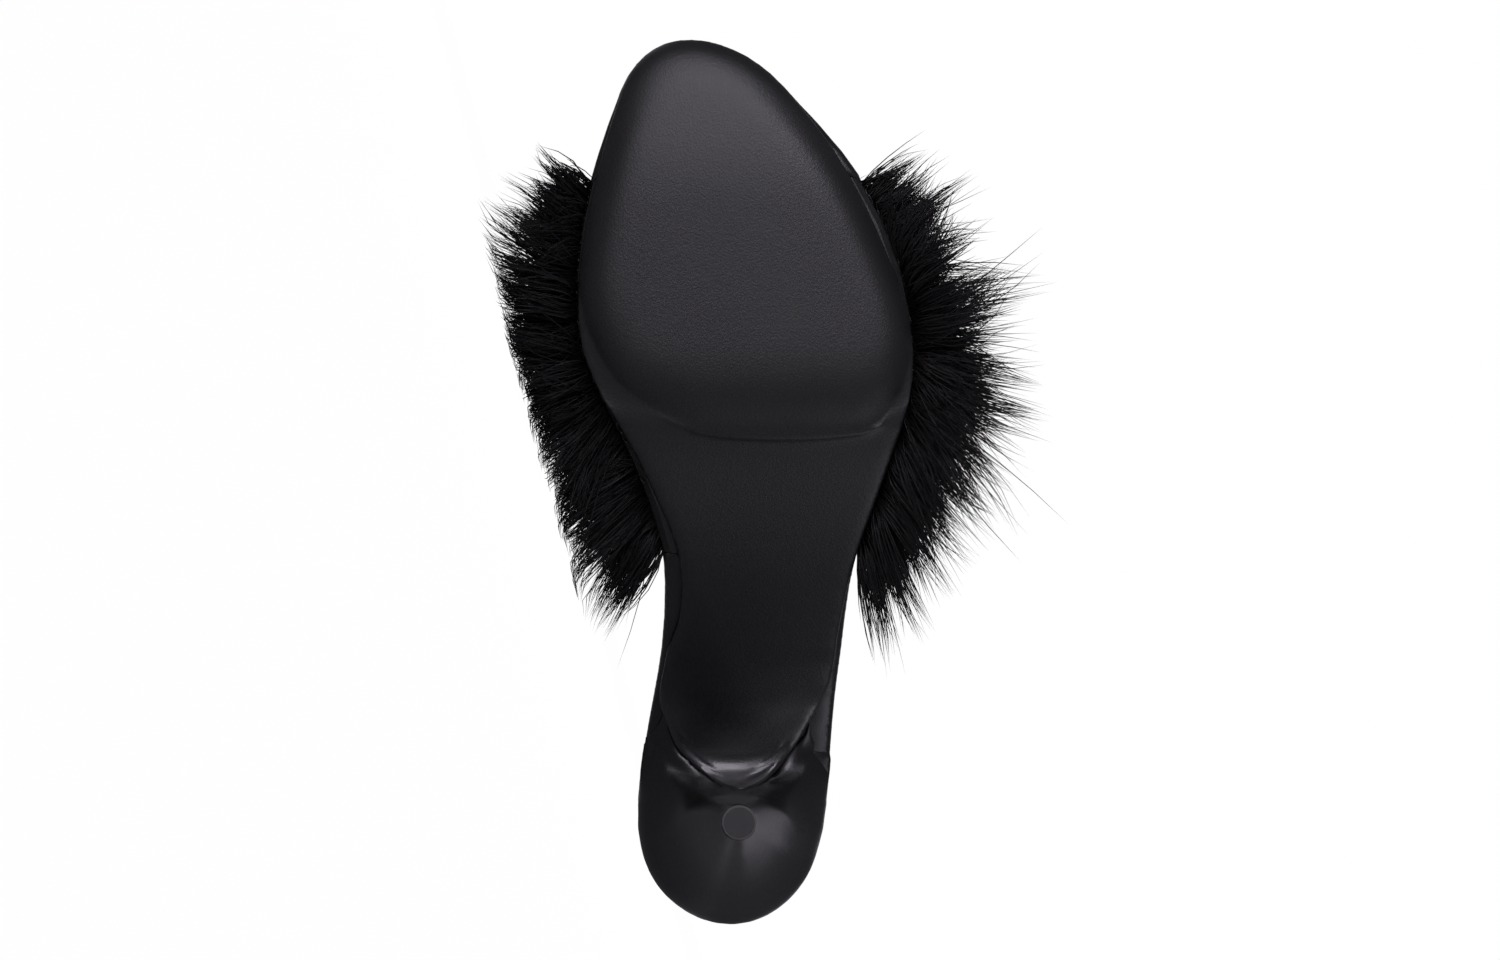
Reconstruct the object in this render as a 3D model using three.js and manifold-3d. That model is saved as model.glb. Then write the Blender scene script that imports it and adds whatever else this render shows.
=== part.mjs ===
// A left-foot marabou slipper: an open-toe mule on a stiletto heel, lying on its inner side.
// The shoe's own frame: +X to the inner side of the foot, +Y to the toe, +Z up from the floor
// that its tread and heel tip stand on, and y = 0 at the back of the heel. Millimetres.
import * as THREE from "three";
import { mergeVertices } from "three/addons/utils/BufferGeometryUtils.js";
import Module from "manifold-3d";

const wasm = await Module();
wasm.setup();

// Driving dimensions
const LENGTH = 216; // back of the heel to the tip of the toe, along the floor
const BALL_WIDTH = 81;
const HEEL_HEIGHT = 80.5; // floor to the underside of the footbed, at the back
const INSTEP_HEIGHT = 52; // underside of the footbed to the crown of the vamp
const GAP = 0.3; // between pieces that meet
const FLATNESS = 0.05; // how far a facet may lie off the shape
const FUR_FLATNESS = 0.2;

const FOOTBED = 3.5; // thickness
const SOCK = 1.3;
const SOCK_INSET = 1.4;
const SOLE = 2.0; // the sole leather at the shank
const TREAD = 5.0; // the padded forefoot, sole leather included
const VAMP_WALL = 2.0;
const VAMP_MARGIN = 7; // of the vamp, turned in under the footbed
const TOE_TIP = 0.145; // of BALL_WIDTH, to the inner side

// The underside of the footbed, seen from the side
const TREAD_LEVEL = TREAD + GAP;
const BALL_BREAK = 134;
const TOE_SPRING_START = 176;
const TOE_SPRING = 4;
const BREAST = { along: 44.7, drop: 11.4 }; // where the shank meets the heel, below HEEL_HEIGHT
const SEAT_PITCH = 8; // degrees, at the back

// Plan of the footbed: along is a share of LENGTH from the back of the heel, inner and outer are
// shares of BALL_WIDTH from the centre line, and the last two are how far the sole's edge lies in.
const PLAN = [
  { along: 0.006, inner: 0.095, outer: 0.077, soleIn: 0, soleOut: 0 },
  { along: 0.023, inner: 0.174, outer: 0.15, soleIn: 0, soleOut: 0 },
  { along: 0.048, inner: 0.238, outer: 0.21, soleIn: 0, soleOut: 0 },
  { along: 0.083, inner: 0.28, outer: 0.253, soleIn: 0, soleOut: 0 },
  { along: 0.141, inner: 0.294, outer: 0.287, soleIn: 0, soleOut: 0 },
  { along: 0.2, inner: 0.275, outer: 0.298, soleIn: 0, soleOut: 0 },
  { along: 0.26, inner: 0.247, outer: 0.309, soleIn: 2, soleOut: 1.8 },
  { along: 0.315, inner: 0.224, outer: 0.324, soleIn: 2.9, soleOut: 1.6 },
  { along: 0.39, inner: 0.216, outer: 0.343, soleIn: 4.2, soleOut: 0.9 },
  { along: 0.438, inner: 0.23, outer: 0.37, soleIn: 4, soleOut: 0.6 },
  { along: 0.489, inner: 0.274, outer: 0.415, soleIn: 3, soleOut: 0.6 },
  { along: 0.545, inner: 0.335, outer: 0.466, soleIn: 2, soleOut: 0.6 },
  { along: 0.6, inner: 0.41, outer: 0.513, soleIn: 1, soleOut: 0.6 },
  { along: 0.656, inner: 0.472, outer: 0.525, soleIn: 0.6, soleOut: 0.6 },
  { along: 0.7125, inner: 0.488, outer: 0.509, soleIn: 0.8, soleOut: 1.2 },
  { along: 0.768, inner: 0.48, outer: 0.47, soleIn: 1.2, soleOut: 2.8 },
  { along: 0.824, inner: 0.456, outer: 0.405, soleIn: 1.5, soleOut: 3 },
  { along: 0.88, inner: 0.415, outer: 0.307, soleIn: 1, soleOut: 2 },
  { along: 0.935, inner: 0.364, outer: 0.178, soleIn: 0.5, soleOut: 0.6 },
  { along: 0.964, inner: 0.331, outer: 0.104, soleIn: 0.4, soleOut: 0.5 },
  { along: 0.984, inner: 0.284, outer: 0.03, soleIn: 0.4, soleOut: 0.5 },
  { along: 0.995, inner: 0.228, outer: -0.05, soleIn: 0.4, soleOut: 0.5 },
];
const SOLE_STARTS = 0.25; // share of LENGTH; behind it the sole narrows to its tongue

// The tongue of the sole: turn is the angle left of its bend over the heel breast, in degrees
const BEND_RADIUS = 9;
const TONGUE = [
  { turn: 13, inner: 1.6, outer: 4.4 },
  { turn: 30, inner: 4, outer: 7.2 },
  { turn: 50, inner: 6.6, outer: 9.8 },
  { turn: 72, inner: 9.9, outer: 13 },
  { turn: 100, inner: 13.8, outer: 16.8 },
];
const TONGUE_END = { turn: 4, across: -1.3 };

// The padded tread's back edge, from the inner to the outer side, in shares as in PLAN
const TREAD_BACK = [
  { along: 0.628, across: 0.376 },
  { along: 0.6, across: 0.287 },
  { along: 0.567, across: 0.14 },
  { along: 0.559, across: -0.01 },
  { along: 0.558, across: -0.16 },
  { along: 0.561, across: -0.305 },
  { along: 0.573, across: -0.425 },
];
const TREAD_SIDES = { inner: 0.68, outer: 0.6 }; // where that edge reaches the sides
const TREAD_EDGE = [
  { inset: 10, depth: 1 }, // of the flat tread, then outwards round the edge
  { inset: 6.8, depth: 0.96 },
  { inset: 4.2, depth: 0.88 },
  { inset: 2.2, depth: 0.76 },
  { inset: 0.9, depth: 0.6 },
  { inset: 0.3, depth: 0.4 },
  { inset: 0.3, depth: 0.2 },
];

// Sections of the heel, by height above the floor. The front is squarer the higher up it is.
const HEEL = [
  { up: 5.3, back: 24.2, centre: 28.4, front: 32.6, half: 4.2, square: 2 },
  { up: 14, back: 22.2, centre: 27.9, front: 32.7, half: 4.9, square: 2.1 },
  { up: 27, back: 18.8, centre: 27, front: 32.9, half: 6.6, square: 2.3 },
  { up: 42, back: 13.6, centre: 25.6, front: 33.2, half: 9.9, square: 2.6 },
  { up: 52, back: 9.4, centre: 24.3, front: 33.2, half: 13.4, square: 2.3 },
  { up: 60, back: 5.4, centre: 24, front: 34, half: 17.6, square: 2.4 },
  { up: 63.5, back: 3.6, centre: 24, front: 38, half: 19.8, square: 2.9 },
  { up: 67, back: 1.8, centre: 24, front: 46, half: 22.2, square: 3.6 },
  { up: 70, back: 0, centre: 24, front: 52, half: 24, square: 4 },
  { up: 74, back: -3, centre: 24, front: 56, half: 27, square: 4 },
  { up: 92, back: -12, centre: 24, front: 68, half: 36, square: 4 },
];
const HEEL_FRONT = 50; // the front corners of the heel cover
const HEEL_FLANGE = 0.2; // of the heel cover beyond the footbed
const HEEL_TIP = { radius: 4.1, height: 5, along: 28.4, bevel: 0.5 };

// Sections of the vamp: where each starts at the footbed, in shares of LENGTH, how far it leans
// to the toe, and its crown as a share of INSTEP_HEIGHT
const VAMP = [
  { along: 0.43, lean: 29, crown: 0.96 },
  { along: 0.546, lean: 17, crown: 1 },
  { along: 0.657, lean: 4, crown: 0.87 },
  { along: 0.764, lean: -11, crown: 0.73 },
  { along: 0.85, lean: -25, crown: 0.61 },
];
const VAMP_FULLNESS = 2.5; // 2 is an ellipse
const VAMP_SKEW = 3; // of the crown, to the inner side
const VAMP_BULGE = 2.5; // of the side walls, beyond the footbed

// The marabou: a dense bed on the vamp with locks fanned out of it
const BED = 12; // depth of the bed
const BED_OVERHANG = 0.02; // beyond the vamp's edges, in shares of its width
const LOCK = { length: 24, radius: 8.8, root: 5, sides: 4 };
const LOCK_ROWS = 5;
const LOCK_COLUMNS = 11;

// How the locks stand, from the vamp's rear edge (0) to its front edge (1): their lean to the toe
// on the inner and on the outer side, and their length as a share
const LOCK_STANCE = [
  { place: 0, inner: -0.75, outer: -2.4, length: 1.15 },
  { place: 0.2, inner: -0.5, outer: -1.15, length: 1.1 },
  { place: 0.45, inner: -0.1, outer: -0.25, length: 1.05 },
  { place: 0.7, inner: 0.25, outer: 0.15, length: 0.95 },
  { place: 0.85, inner: 0.5, outer: 0.35, length: 0.8 },
  { place: 1, inner: 0.7, outer: 0.6, length: 0.5 },
];

const LYING_TILT = 15; // degrees between the centre line and the floor that it lies on

// Helpers

const rad = THREE.MathUtils.degToRad;
const lerp = THREE.MathUtils.lerp;
const planX = (share) => share * BALL_WIDTH;
const planY = (share) => share * LENGTH;

// Numbers from 0 to 1 that look random and are the same on each run
let seed = 20;
function random() {
  seed = (seed * 16807) % 2147483647;
  return seed / 2147483647;
}

// A column of a table at any place along its key column, smooth through the rows
function smooth(rows, key, column) {
  const points = rows.map((row) => new THREE.Vector2(row[key], row[column]));
  const curve = new THREE.SplineCurve(points);
  return (value) => {
    let low = 0;
    let high = 1;
    for (let i = 0; i < 24; i++) {
      const middle = (low + high) / 2;
      if (curve.getPoint(middle).x < value) low = middle;
      else high = middle;
    }
    return curve.getPoint(low).y;
  };
}

// Points spaced evenly along a polyline
function respace(points, count) {
  const ends = [0];
  for (let i = 1; i < points.length; i++) {
    ends.push(ends[i - 1] + points[i].distanceTo(points[i - 1]));
  }
  const spaced = [];
  let k = 1;
  for (let i = 0; i < count; i++) {
    const wanted = (ends.at(-1) * i) / (count - 1);
    while (k < points.length - 1 && ends[k] < wanted) k++;
    const share = (wanted - ends[k - 1]) / (ends[k] - ends[k - 1]);
    spaced.push(points[k - 1].clone().lerp(points[k], Math.min(share, 1)));
  }
  return spaced;
}

// A line in the side view, as Vector2(y, z) points from heel to toe, read by its length
function sideLine(points) {
  const lengths = [0];
  for (let i = 1; i < points.length; i++) {
    lengths.push(lengths[i - 1] + points[i].distanceTo(points[i - 1]));
  }
  const find = (list, value) => {
    let k = 1;
    while (k < list.length - 1 && list[k] < value) k++;
    return k;
  };
  const ys = points.map((p) => p.x);
  return {
    points,
    length: lengths.at(-1),
    // the length at which the line passes y, from its toe end
    lengthAt(y) {
      let k = points.length - 1;
      while (k > 1 && ys[k - 1] > y) k--;
      const share = (y - ys[k - 1]) / (ys[k] - ys[k - 1]);
      return lerp(lengths[k - 1], lengths[k], share);
    },
    // the point at a height above the line, and x beside it
    place(x, length, height) {
      const k = find(lengths, length);
      const share = (length - lengths[k - 1]) / (lengths[k] - lengths[k - 1]);
      const here = points[k - 1].clone().lerp(points[k], share);
      const before = points[Math.max(k - 2, 0)];
      const after = points[Math.min(k + 1, points.length - 1)];
      const toToe = after.clone().sub(before).normalize();
      return new THREE.Vector3(
        x,
        here.x - toToe.y * height,
        here.y + toToe.x * height,
      );
    },
  };
}

// A closed solid from shared vertices and triangles, turned to face out
function solid(vertices, triangles) {
  const corners = triangles.flat();
  let volume = 0;
  for (const [a, b, c] of triangles) {
    const cross = vertices[b].clone().cross(vertices[c]);
    volume += vertices[a].dot(cross);
  }
  if (volume < 0) corners.reverse();
  const geometry = new THREE.BufferGeometry().setFromPoints(vertices);
  geometry.setIndex(corners);
  return toManifold(geometry);
}

function toManifold(geometry) {
  const bare = geometry.clone();
  bare.deleteAttribute("normal");
  bare.deleteAttribute("uv");
  const merged = mergeVertices(bare, 1e-4);
  return new wasm.Manifold(
    new wasm.Mesh({
      numProp: 3,
      vertProperties: new Float32Array(merged.attributes.position.array),
      triVerts: new Uint32Array(merged.index.array),
    }),
  );
}

function toGeometry(manifold, flatness) {
  const mesh = manifold.simplify(flatness).getMesh();
  const geometry = new THREE.BufferGeometry();
  geometry.setAttribute(
    "position",
    new THREE.BufferAttribute(mesh.vertProperties, 3),
  );
  geometry.setIndex(new THREE.BufferAttribute(mesh.triVerts, 1));
  geometry.computeVertexNormals();
  return geometry;
}

// A wall between two grids of points that match row by row
function wall(outside, inside) {
  const rows = outside.length;
  const columns = outside[0].length;
  const vertices = [...outside.flat(), ...inside.flat()];
  const triangles = [];
  const at = (side, row, column) => side * rows * columns + row * columns + column;
  const quad = (a, b, c, d) => triangles.push([a, b, c], [a, c, d]);
  for (let i = 0; i < rows - 1; i++) {
    for (let j = 0; j < columns - 1; j++) {
      quad(at(0, i, j), at(0, i + 1, j), at(0, i + 1, j + 1), at(0, i, j + 1));
      quad(at(1, i, j), at(1, i, j + 1), at(1, i + 1, j + 1), at(1, i + 1, j));
    }
    const last = columns - 1;
    quad(at(0, i, 0), at(1, i, 0), at(1, i + 1, 0), at(0, i + 1, 0));
    quad(at(0, i, last), at(0, i + 1, last), at(1, i + 1, last), at(1, i, last));
  }
  for (let j = 0; j < columns - 1; j++) {
    const last = rows - 1;
    quad(at(0, 0, j), at(0, 0, j + 1), at(1, 0, j + 1), at(1, 0, j));
    quad(at(0, last, j), at(1, last, j), at(1, last, j + 1), at(0, last, j + 1));
  }
  return solid(vertices, triangles);
}

// A loft through closed loops of points, with a fan at each end
function loft(loops) {
  const count = loops[0].length;
  const vertices = loops.flat();
  const triangles = [];
  for (let i = 0; i < loops.length - 1; i++) {
    for (let j = 0; j < count; j++) {
      const next = (j + 1) % count;
      const [a, b] = [i * count + j, i * count + next];
      triangles.push([a, b, b + count], [a, b + count, a + count]);
    }
  }
  for (const end of [0, loops.length - 1]) {
    const middle = new THREE.Vector3();
    for (const point of loops[end]) middle.addScaledVector(point, 1 / count);
    const hub = vertices.push(middle) - 1;
    for (let j = 0; j < count; j++) {
      const [a, b] = [end * count + j, end * count + ((j + 1) % count)];
      triangles.push(end === 0 ? [hub, b, a] : [hub, a, b]);
    }
  }
  return solid(vertices, triangles);
}

// Flat outlines: Vector2(x, length along a side line), from the heel end round the inner side to
// the toe and back round the outer side, with a point at each end and as many points on each side

const POINTS_PER_STOP = 2;
const ACROSS = 4; // cells from side to side

function closedOutline(heelEnd, inner, toeEnd, outer) {
  const stops = [heelEnd, ...inner, toeEnd, ...outer.toReversed()];
  const curve = new THREE.CatmullRomCurve3(
    stops.map(([x, s]) => new THREE.Vector3(x, s, 0)),
    true,
  );
  const cells = POINTS_PER_STOP * (Math.max(inner.length, outer.length) + 1);
  const toe = (inner.length + 1) / stops.length;
  const outline = [];
  for (let i = 0; i < 2 * cells; i++) {
    const share = i / cells;
    const p = curve.getPoint(share < 1 ? toe * share : lerp(toe, 1, share - 1));
    outline.push(new THREE.Vector2(p.x, p.y));
  }
  return outline;
}

// The outline moved in by a distance, at right angles to itself
function inset(outline, distance) {
  const count = outline.length;
  return outline.map((point, i) => {
    const before = outline[(i + count - 1) % count];
    const after = outline[(i + 1) % count];
    const along = after.clone().sub(before).normalize();
    return new THREE.Vector2(
      point.x - along.y * distance,
      point.y + along.x * distance,
    );
  });
}

// A bent plate: edge lists {inset, height} from one face round the edge to the other
function plate(line, outline, edge) {
  const count = outline.length;
  const vertices = [];
  const triangles = [];
  const loops = edge.map(({ inset: distance, height }) => {
    const loop = inset(outline, distance);
    return loop.map((p) => vertices.push(line.place(p.x, p.y, height)) - 1);
  });
  for (let k = 0; k < loops.length - 1; k++) {
    for (let i = 0; i < count; i++) {
      const next = (i + 1) % count;
      triangles.push([loops[k][i], loops[k][next], loops[k + 1][next]]);
      triangles.push([loops[k][i], loops[k + 1][next], loops[k + 1][i]]);
    }
  }
  for (const k of [0, loops.length - 1]) {
    const flat = inset(outline, edge[k].inset);
    const rungs = [];
    for (let i = 0; i <= count / 2; i++) {
      const [a, b] = [i, (count - i) % count];
      const rung = [loops[k][a]];
      for (let j = 1; j < ACROSS && a !== b; j++) {
        const p = flat[a].clone().lerp(flat[b], j / ACROSS);
        rung.push(vertices.push(line.place(p.x, p.y, edge[k].height)) - 1);
      }
      if (a !== b) rung.push(loops[k][b]);
      rungs.push(rung);
    }
    const facing = k === 0 ? -1 : 1;
    const triangle = (a, b, c) => {
      triangles.push(facing > 0 ? [a, c, b] : [a, b, c]);
    };
    for (let i = 0; i < rungs.length - 1; i++) {
      const [near, far] = [rungs[i], rungs[i + 1]];
      const cells = Math.max(near.length, far.length) - 1;
      for (let j = 0; j < cells; j++) {
        const [a, b] = near.length > 1 ? [near[j], near[j + 1]] : [near[0], null];
        const [c, d] = far.length > 1 ? [far[j], far[j + 1]] : [far[0], null];
        if (b === null) triangle(a, d, c);
        else if (d === null) triangle(a, b, c);
        else {
          triangle(a, b, d);
          triangle(a, d, c);
        }
      }
    }
  }
  return solid(vertices, triangles);
}

// Side lines

function footbedLine() {
  const breastLevel = HEEL_HEIGHT - BREAST.drop;
  const seatPull = BREAST.along * 0.48;
  const seatHandle = new THREE.Vector2(
    seatPull,
    HEEL_HEIGHT - seatPull * Math.tan(rad(SEAT_PITCH)),
  );
  const breast = new THREE.Vector2(BREAST.along, breastLevel);
  const intoShank = breast.clone().sub(seatHandle).setLength(30);
  const ballPull = 36;
  const path = new THREE.CurvePath();
  path.add(
    new THREE.QuadraticBezierCurve(
      new THREE.Vector2(0, HEEL_HEIGHT),
      seatHandle,
      breast,
    ),
  );
  path.add(
    new THREE.CubicBezierCurve(
      breast,
      breast.clone().add(intoShank),
      new THREE.Vector2(BALL_BREAK - ballPull, TREAD_LEVEL),
      new THREE.Vector2(BALL_BREAK, TREAD_LEVEL),
    ),
  );
  path.add(
    new THREE.LineCurve(
      new THREE.Vector2(BALL_BREAK, TREAD_LEVEL),
      new THREE.Vector2(TOE_SPRING_START, TREAD_LEVEL),
    ),
  );
  path.add(
    new THREE.QuadraticBezierCurve(
      new THREE.Vector2(TOE_SPRING_START, TREAD_LEVEL),
      new THREE.Vector2((TOE_SPRING_START + LENGTH) / 2, TREAD_LEVEL),
      new THREE.Vector2(LENGTH, TREAD_LEVEL + TOE_SPRING),
    ),
  );
  return sideLine(path.getPoints(80));
}

// The upper face of the sole: it follows the footbed, then turns down over the heel breast
function soleLine(bed) {
  const start = bed.lengthAt(BREAST.along);
  const onTop = bed.place(0, start, -GAP);
  const centre = bed.place(0, start, -GAP - BEND_RADIUS);
  const first = Math.atan2(onTop.z - centre.z, onTop.y - centre.y);
  const points = [];
  const steps = 24;
  for (let i = 0; i <= steps; i++) {
    const angle = lerp(Math.PI, first, i / steps);
    points.push(
      new THREE.Vector2(
        centre.y + BEND_RADIUS * Math.cos(angle),
        centre.z + BEND_RADIUS * Math.sin(angle),
      ),
    );
  }
  const bend = { centre, first, turn: Math.PI - first };
  for (const p of bed.points) {
    if (p.x > BREAST.along + 0.5) {
      const level = bed.place(0, bed.lengthAt(p.x), -GAP);
      points.push(new THREE.Vector2(level.y, level.z));
    }
  }
  return { ...sideLine(points), bend };
}

const bed = footbedLine();
const sole = soleLine(bed);

// Outlines

function bedOutline() {
  const row = (side) => (r) => [
    side * planX(side > 0 ? r.inner : r.outer),
    bed.lengthAt(planY(r.along)),
  ];
  return closedOutline(
    [0, 0],
    PLAN.map(row(1)),
    [planX(TOE_TIP), bed.length],
    PLAN.map(row(-1)),
  );
}

// The sole's edge at a row of PLAN, on the inner (1) or outer (-1) side
function soleEdge(row, side) {
  const x = side > 0 ? planX(row.inner) - row.soleIn : planX(row.outer) - row.soleOut;
  return [side * x, sole.lengthAt(planY(row.along))];
}

const soleToe = [planX(TOE_TIP), sole.length - 0.6];

function soleOutline() {
  const turned = (degrees) => BEND_RADIUS * rad(degrees);
  const rows = PLAN.filter((r) => r.along > SOLE_STARTS);
  const side = (sign) => [
    ...TONGUE.map((t) => [sign * (sign > 0 ? t.inner : t.outer), turned(t.turn)]),
    ...rows.map((r) => soleEdge(r, sign)),
  ];
  const end = [TONGUE_END.across, turned(TONGUE_END.turn)];
  return closedOutline(end, side(1), soleToe, side(-1));
}

function treadOutline() {
  const back = TREAD_BACK.map((p) => [planX(p.across), sole.lengthAt(planY(p.along))]);
  const middle = Math.floor(back.length / 2);
  const inner = PLAN.filter((r) => r.along > TREAD_SIDES.inner);
  const outer = PLAN.filter((r) => r.along > TREAD_SIDES.outer);
  return closedOutline(
    back[middle],
    [...back.slice(0, middle).toReversed(), ...inner.map((r) => soleEdge(r, 1))],
    soleToe,
    [...back.slice(middle + 1), ...outer.map((r) => soleEdge(r, -1))],
  );
}

// Pieces

function makeOutsole() {
  const rounding = 0.5;
  const leather = plate(sole, soleOutline(), [
    { inset: rounding, height: -SOLE },
    { inset: 0, height: -SOLE + rounding },
    { inset: 0, height: 0 },
  ]);
  const pad = plate(
    sole,
    treadOutline(),
    TREAD_EDGE.map(({ inset: distance, depth }) => ({
      inset: distance,
      height: -TREAD * depth,
    })),
  );
  return leather.add(pad);
}

function makeFootbed(outline, vampSpace) {
  const board = plate(bed, outline, [
    { inset: 0.7, height: 0 },
    { inset: 0, height: 0.9 },
    { inset: 0, height: FOOTBED - 1.1 },
    { inset: 0.9, height: FOOTBED },
  ]);
  return board.subtract(vampSpace);
}

function makeSock(outline, vampSpace) {
  const low = FOOTBED + GAP;
  const sock = plate(bed, outline, [
    { inset: SOCK_INSET, height: low },
    { inset: SOCK_INSET, height: low + SOCK / 2 },
    { inset: SOCK_INSET + 0.7, height: low + SOCK },
  ]);
  return sock.subtract(vampSpace);
}

// One section of the vamp's outer face, moved out by a distance: points {x, n}, n up the section
const ARCH_STEPS = 24;
const SECTION_POINTS = 25;

function vampSection(along, moved, margin = VAMP_MARGIN) {
  const share = along / LENGTH;
  const [inner, outer] = edges(along);
  const crown = vampCrown(share) * INSTEP_HEIGHT;
  const corner = 2.2;
  const arch = [];
  for (let i = 0; i <= ARCH_STEPS; i++) {
    const angle = (Math.PI * i) / ARCH_STEPS;
    const [c, s] = [Math.cos(angle), Math.sin(angle)];
    const power = 2 / VAMP_FULLNESS;
    const across = Math.sign(c) * Math.abs(c) ** power;
    const up = Math.abs(s) ** power;
    const swell = VAMP_BULGE * Math.sin(Math.PI * Math.min(up * 1.3, 1));
    const half = (inner + outer) / 2 + swell;
    arch.push(
      new THREE.Vector2(
        (inner - outer) / 2 + VAMP_SKEW * up * up + half * across,
        corner + (crown - corner) * up,
      ),
    );
  }
  const tuck = (side, x) => [
    new THREE.Vector2(side * (x - margin), 0),
    new THREE.Vector2(side * (x - corner), 0),
    new THREE.Vector2(side * (x - corner * 0.3), corner * 0.3),
  ];
  const line = [
    ...tuck(1, inner),
    ...respace(arch, SECTION_POINTS - 6),
    ...tuck(-1, outer).toReversed(),
  ];
  return line.map((p, i) => {
    const before = line[Math.max(i - 1, 0)];
    const after = line[Math.min(i + 1, line.length - 1)];
    const along2 = after.clone().sub(before).normalize();
    return new THREE.Vector2(p.x + along2.y * moved, p.y - along2.x * moved);
  });
}

// The footbed's edges at a place along the floor: distances to the inner and the outer side
const innerEdge = smooth(PLAN, "along", "inner");
const outerEdge = smooth(PLAN, "along", "outer");
const vampLean = smooth(VAMP, "along", "lean");
const vampCrown = smooth(VAMP, "along", "crown");

function edges(along) {
  const share = along / LENGTH;
  return [planX(innerEdge(share)), planX(outerEdge(share))];
}

// A point of a vamp section in the shoe's frame
function onSection(along, p) {
  const base = bed.place(0, bed.lengthAt(along), 0);
  const lean = rad(vampLean(along / LENGTH));
  return new THREE.Vector3(
    p.x,
    base.y + p.y * Math.sin(lean),
    base.z + p.y * Math.cos(lean),
  );
}

// v runs from the vamp's back edge, 0, to its front edge, 1
function vampAlong(v) {
  return lerp(planY(VAMP[0].along), planY(VAMP.at(-1).along), v);
}

const VAMP_STATIONS = 8;

function makeVamp(grown) {
  const overrun = grown / (vampAlong(1) - vampAlong(0));
  const sheet = (moved) => {
    const rows = [];
    for (let i = 0; i <= VAMP_STATIONS; i++) {
      const along = vampAlong(lerp(-overrun, 1 + overrun, i / VAMP_STATIONS));
      const section = vampSection(along, moved, VAMP_MARGIN + grown);
      rows.push(section.map((p) => onSection(along, p)));
    }
    return rows;
  };
  return wall(sheet(grown), sheet(-VAMP_WALL - grown));
}

// All that the vamp goes round, and the vamp, with a gap outside it
function makeVampCore() {
  const loops = [];
  for (let i = -1; i <= VAMP_STATIONS + 1; i++) {
    const along = vampAlong(i / VAMP_STATIONS);
    loops.push(vampSection(along, GAP).map((p) => onSection(along, p)));
  }
  return loft(loops);
}

// The bed of the marabou leaves the tucked margins free
const BED_FIRST = 3; // index into a vamp section
const BED_LAST = SECTION_POINTS - 1 - BED_FIRST;
const BED_STATIONS = 6;

function marabouPoint(v, index, depth) {
  const along = vampAlong(v);
  return onSection(along, vampSection(along, depth)[index]);
}

function makeMarabouBed() {
  const sheet = (outside) => {
    const rows = [];
    for (let i = 0; i <= BED_STATIONS; i++) {
      const v = lerp(-BED_OVERHANG, 1 + BED_OVERHANG, i / BED_STATIONS);
      const along = vampAlong(v);
      const row = [];
      for (let j = BED_FIRST; j <= BED_LAST; j++) {
        const edge = Math.min(i, BED_STATIONS - i, j - BED_FIRST, BED_LAST - j);
        const depth = outside ? BED * (edge === 0 ? 0.55 : 1) : GAP;
        row.push(onSection(along, vampSection(along, depth)[j]));
      }
      rows.push(row);
    }
    return rows;
  };
  return wall(sheet(true), sheet(false));
}

// One lock: a tapering tuft along +Y, bent sideways, its root at the origin
function lockGeometry(length, radius, bend) {
  const profile = [
    new THREE.Vector2(0, 0),
    new THREE.Vector2(radius, 0),
    new THREE.Vector2(radius * 0.82, length * 0.45),
    new THREE.Vector2(0, length),
  ];
  const geometry = new THREE.LatheGeometry(profile, LOCK.sides);
  const position = geometry.attributes.position;
  for (let i = 0; i < position.count; i++) {
    const up = position.getY(i) / length;
    position.setX(i, position.getX(i) + bend * up * up);
  }
  return geometry;
}

const lockStance = Object.fromEntries(
  ["inner", "outer", "length"].map((name) => [name, smooth(LOCK_STANCE, "place", name)]),
);

function makeLock(row, column) {
  const stagger = row % 2 ? 0.5 : 0;
  const v = (row + 0.2 + 0.6 * random()) / LOCK_ROWS;
  const around = (column + 0.35 + stagger + 0.3 * random()) / (LOCK_COLUMNS + 0.5);
  const index = lerp(BED_FIRST, BED_LAST, around);
  const low = Math.floor(index);
  const onBed = (s, depth) =>
    marabouPoint(s, low, depth).lerp(marabouPoint(s, low + 1, depth), index - low);
  const root = onBed(v, LOCK.root);
  const out = onBed(v, LOCK.root + 5).sub(root).normalize();
  const toToe = onBed(v + 0.03, LOCK.root).sub(root).normalize();
  const lean = lerp(lockStance.inner(v), lockStance.outer(v), around);
  const fan = lean + 0.3 * (random() - 0.5);
  const aim = out.clone().addScaledVector(toToe, fan).normalize();
  const length = LOCK.length * lockStance.length(v) * (0.85 + 0.3 * random());
  const geometry = lockGeometry(length, LOCK.radius, 3 * (random() - 0.5));
  const turn = new THREE.Quaternion().setFromUnitVectors(
    new THREE.Vector3(0, 1, 0),
    aim,
  );
  geometry.applyQuaternion(turn);
  geometry.translate(root.x, root.y, root.z);
  return toManifold(geometry);
}

// The sole, footbed and sock, with a gap all round, clear of the marabou
function bottomSpace(outline) {
  const round = -2 * GAP;
  return plate(bed, outline, [
    { inset: round, height: -TREAD - 2 * GAP },
    { inset: round, height: 0 },
    { inset: round, height: FOOTBED + SOCK + 2 * GAP },
  ]);
}

function makeMarabou(outline) {
  const locks = [];
  for (let row = 0; row < LOCK_ROWS; row++) {
    for (let column = 0; column < LOCK_COLUMNS; column++) {
      locks.push(makeLock(row, column));
    }
  }
  const taken = makeVampCore().add(bottomSpace(outline));
  return wasm.Manifold.union([makeMarabouBed(), ...locks]).subtract(taken);
}

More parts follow.
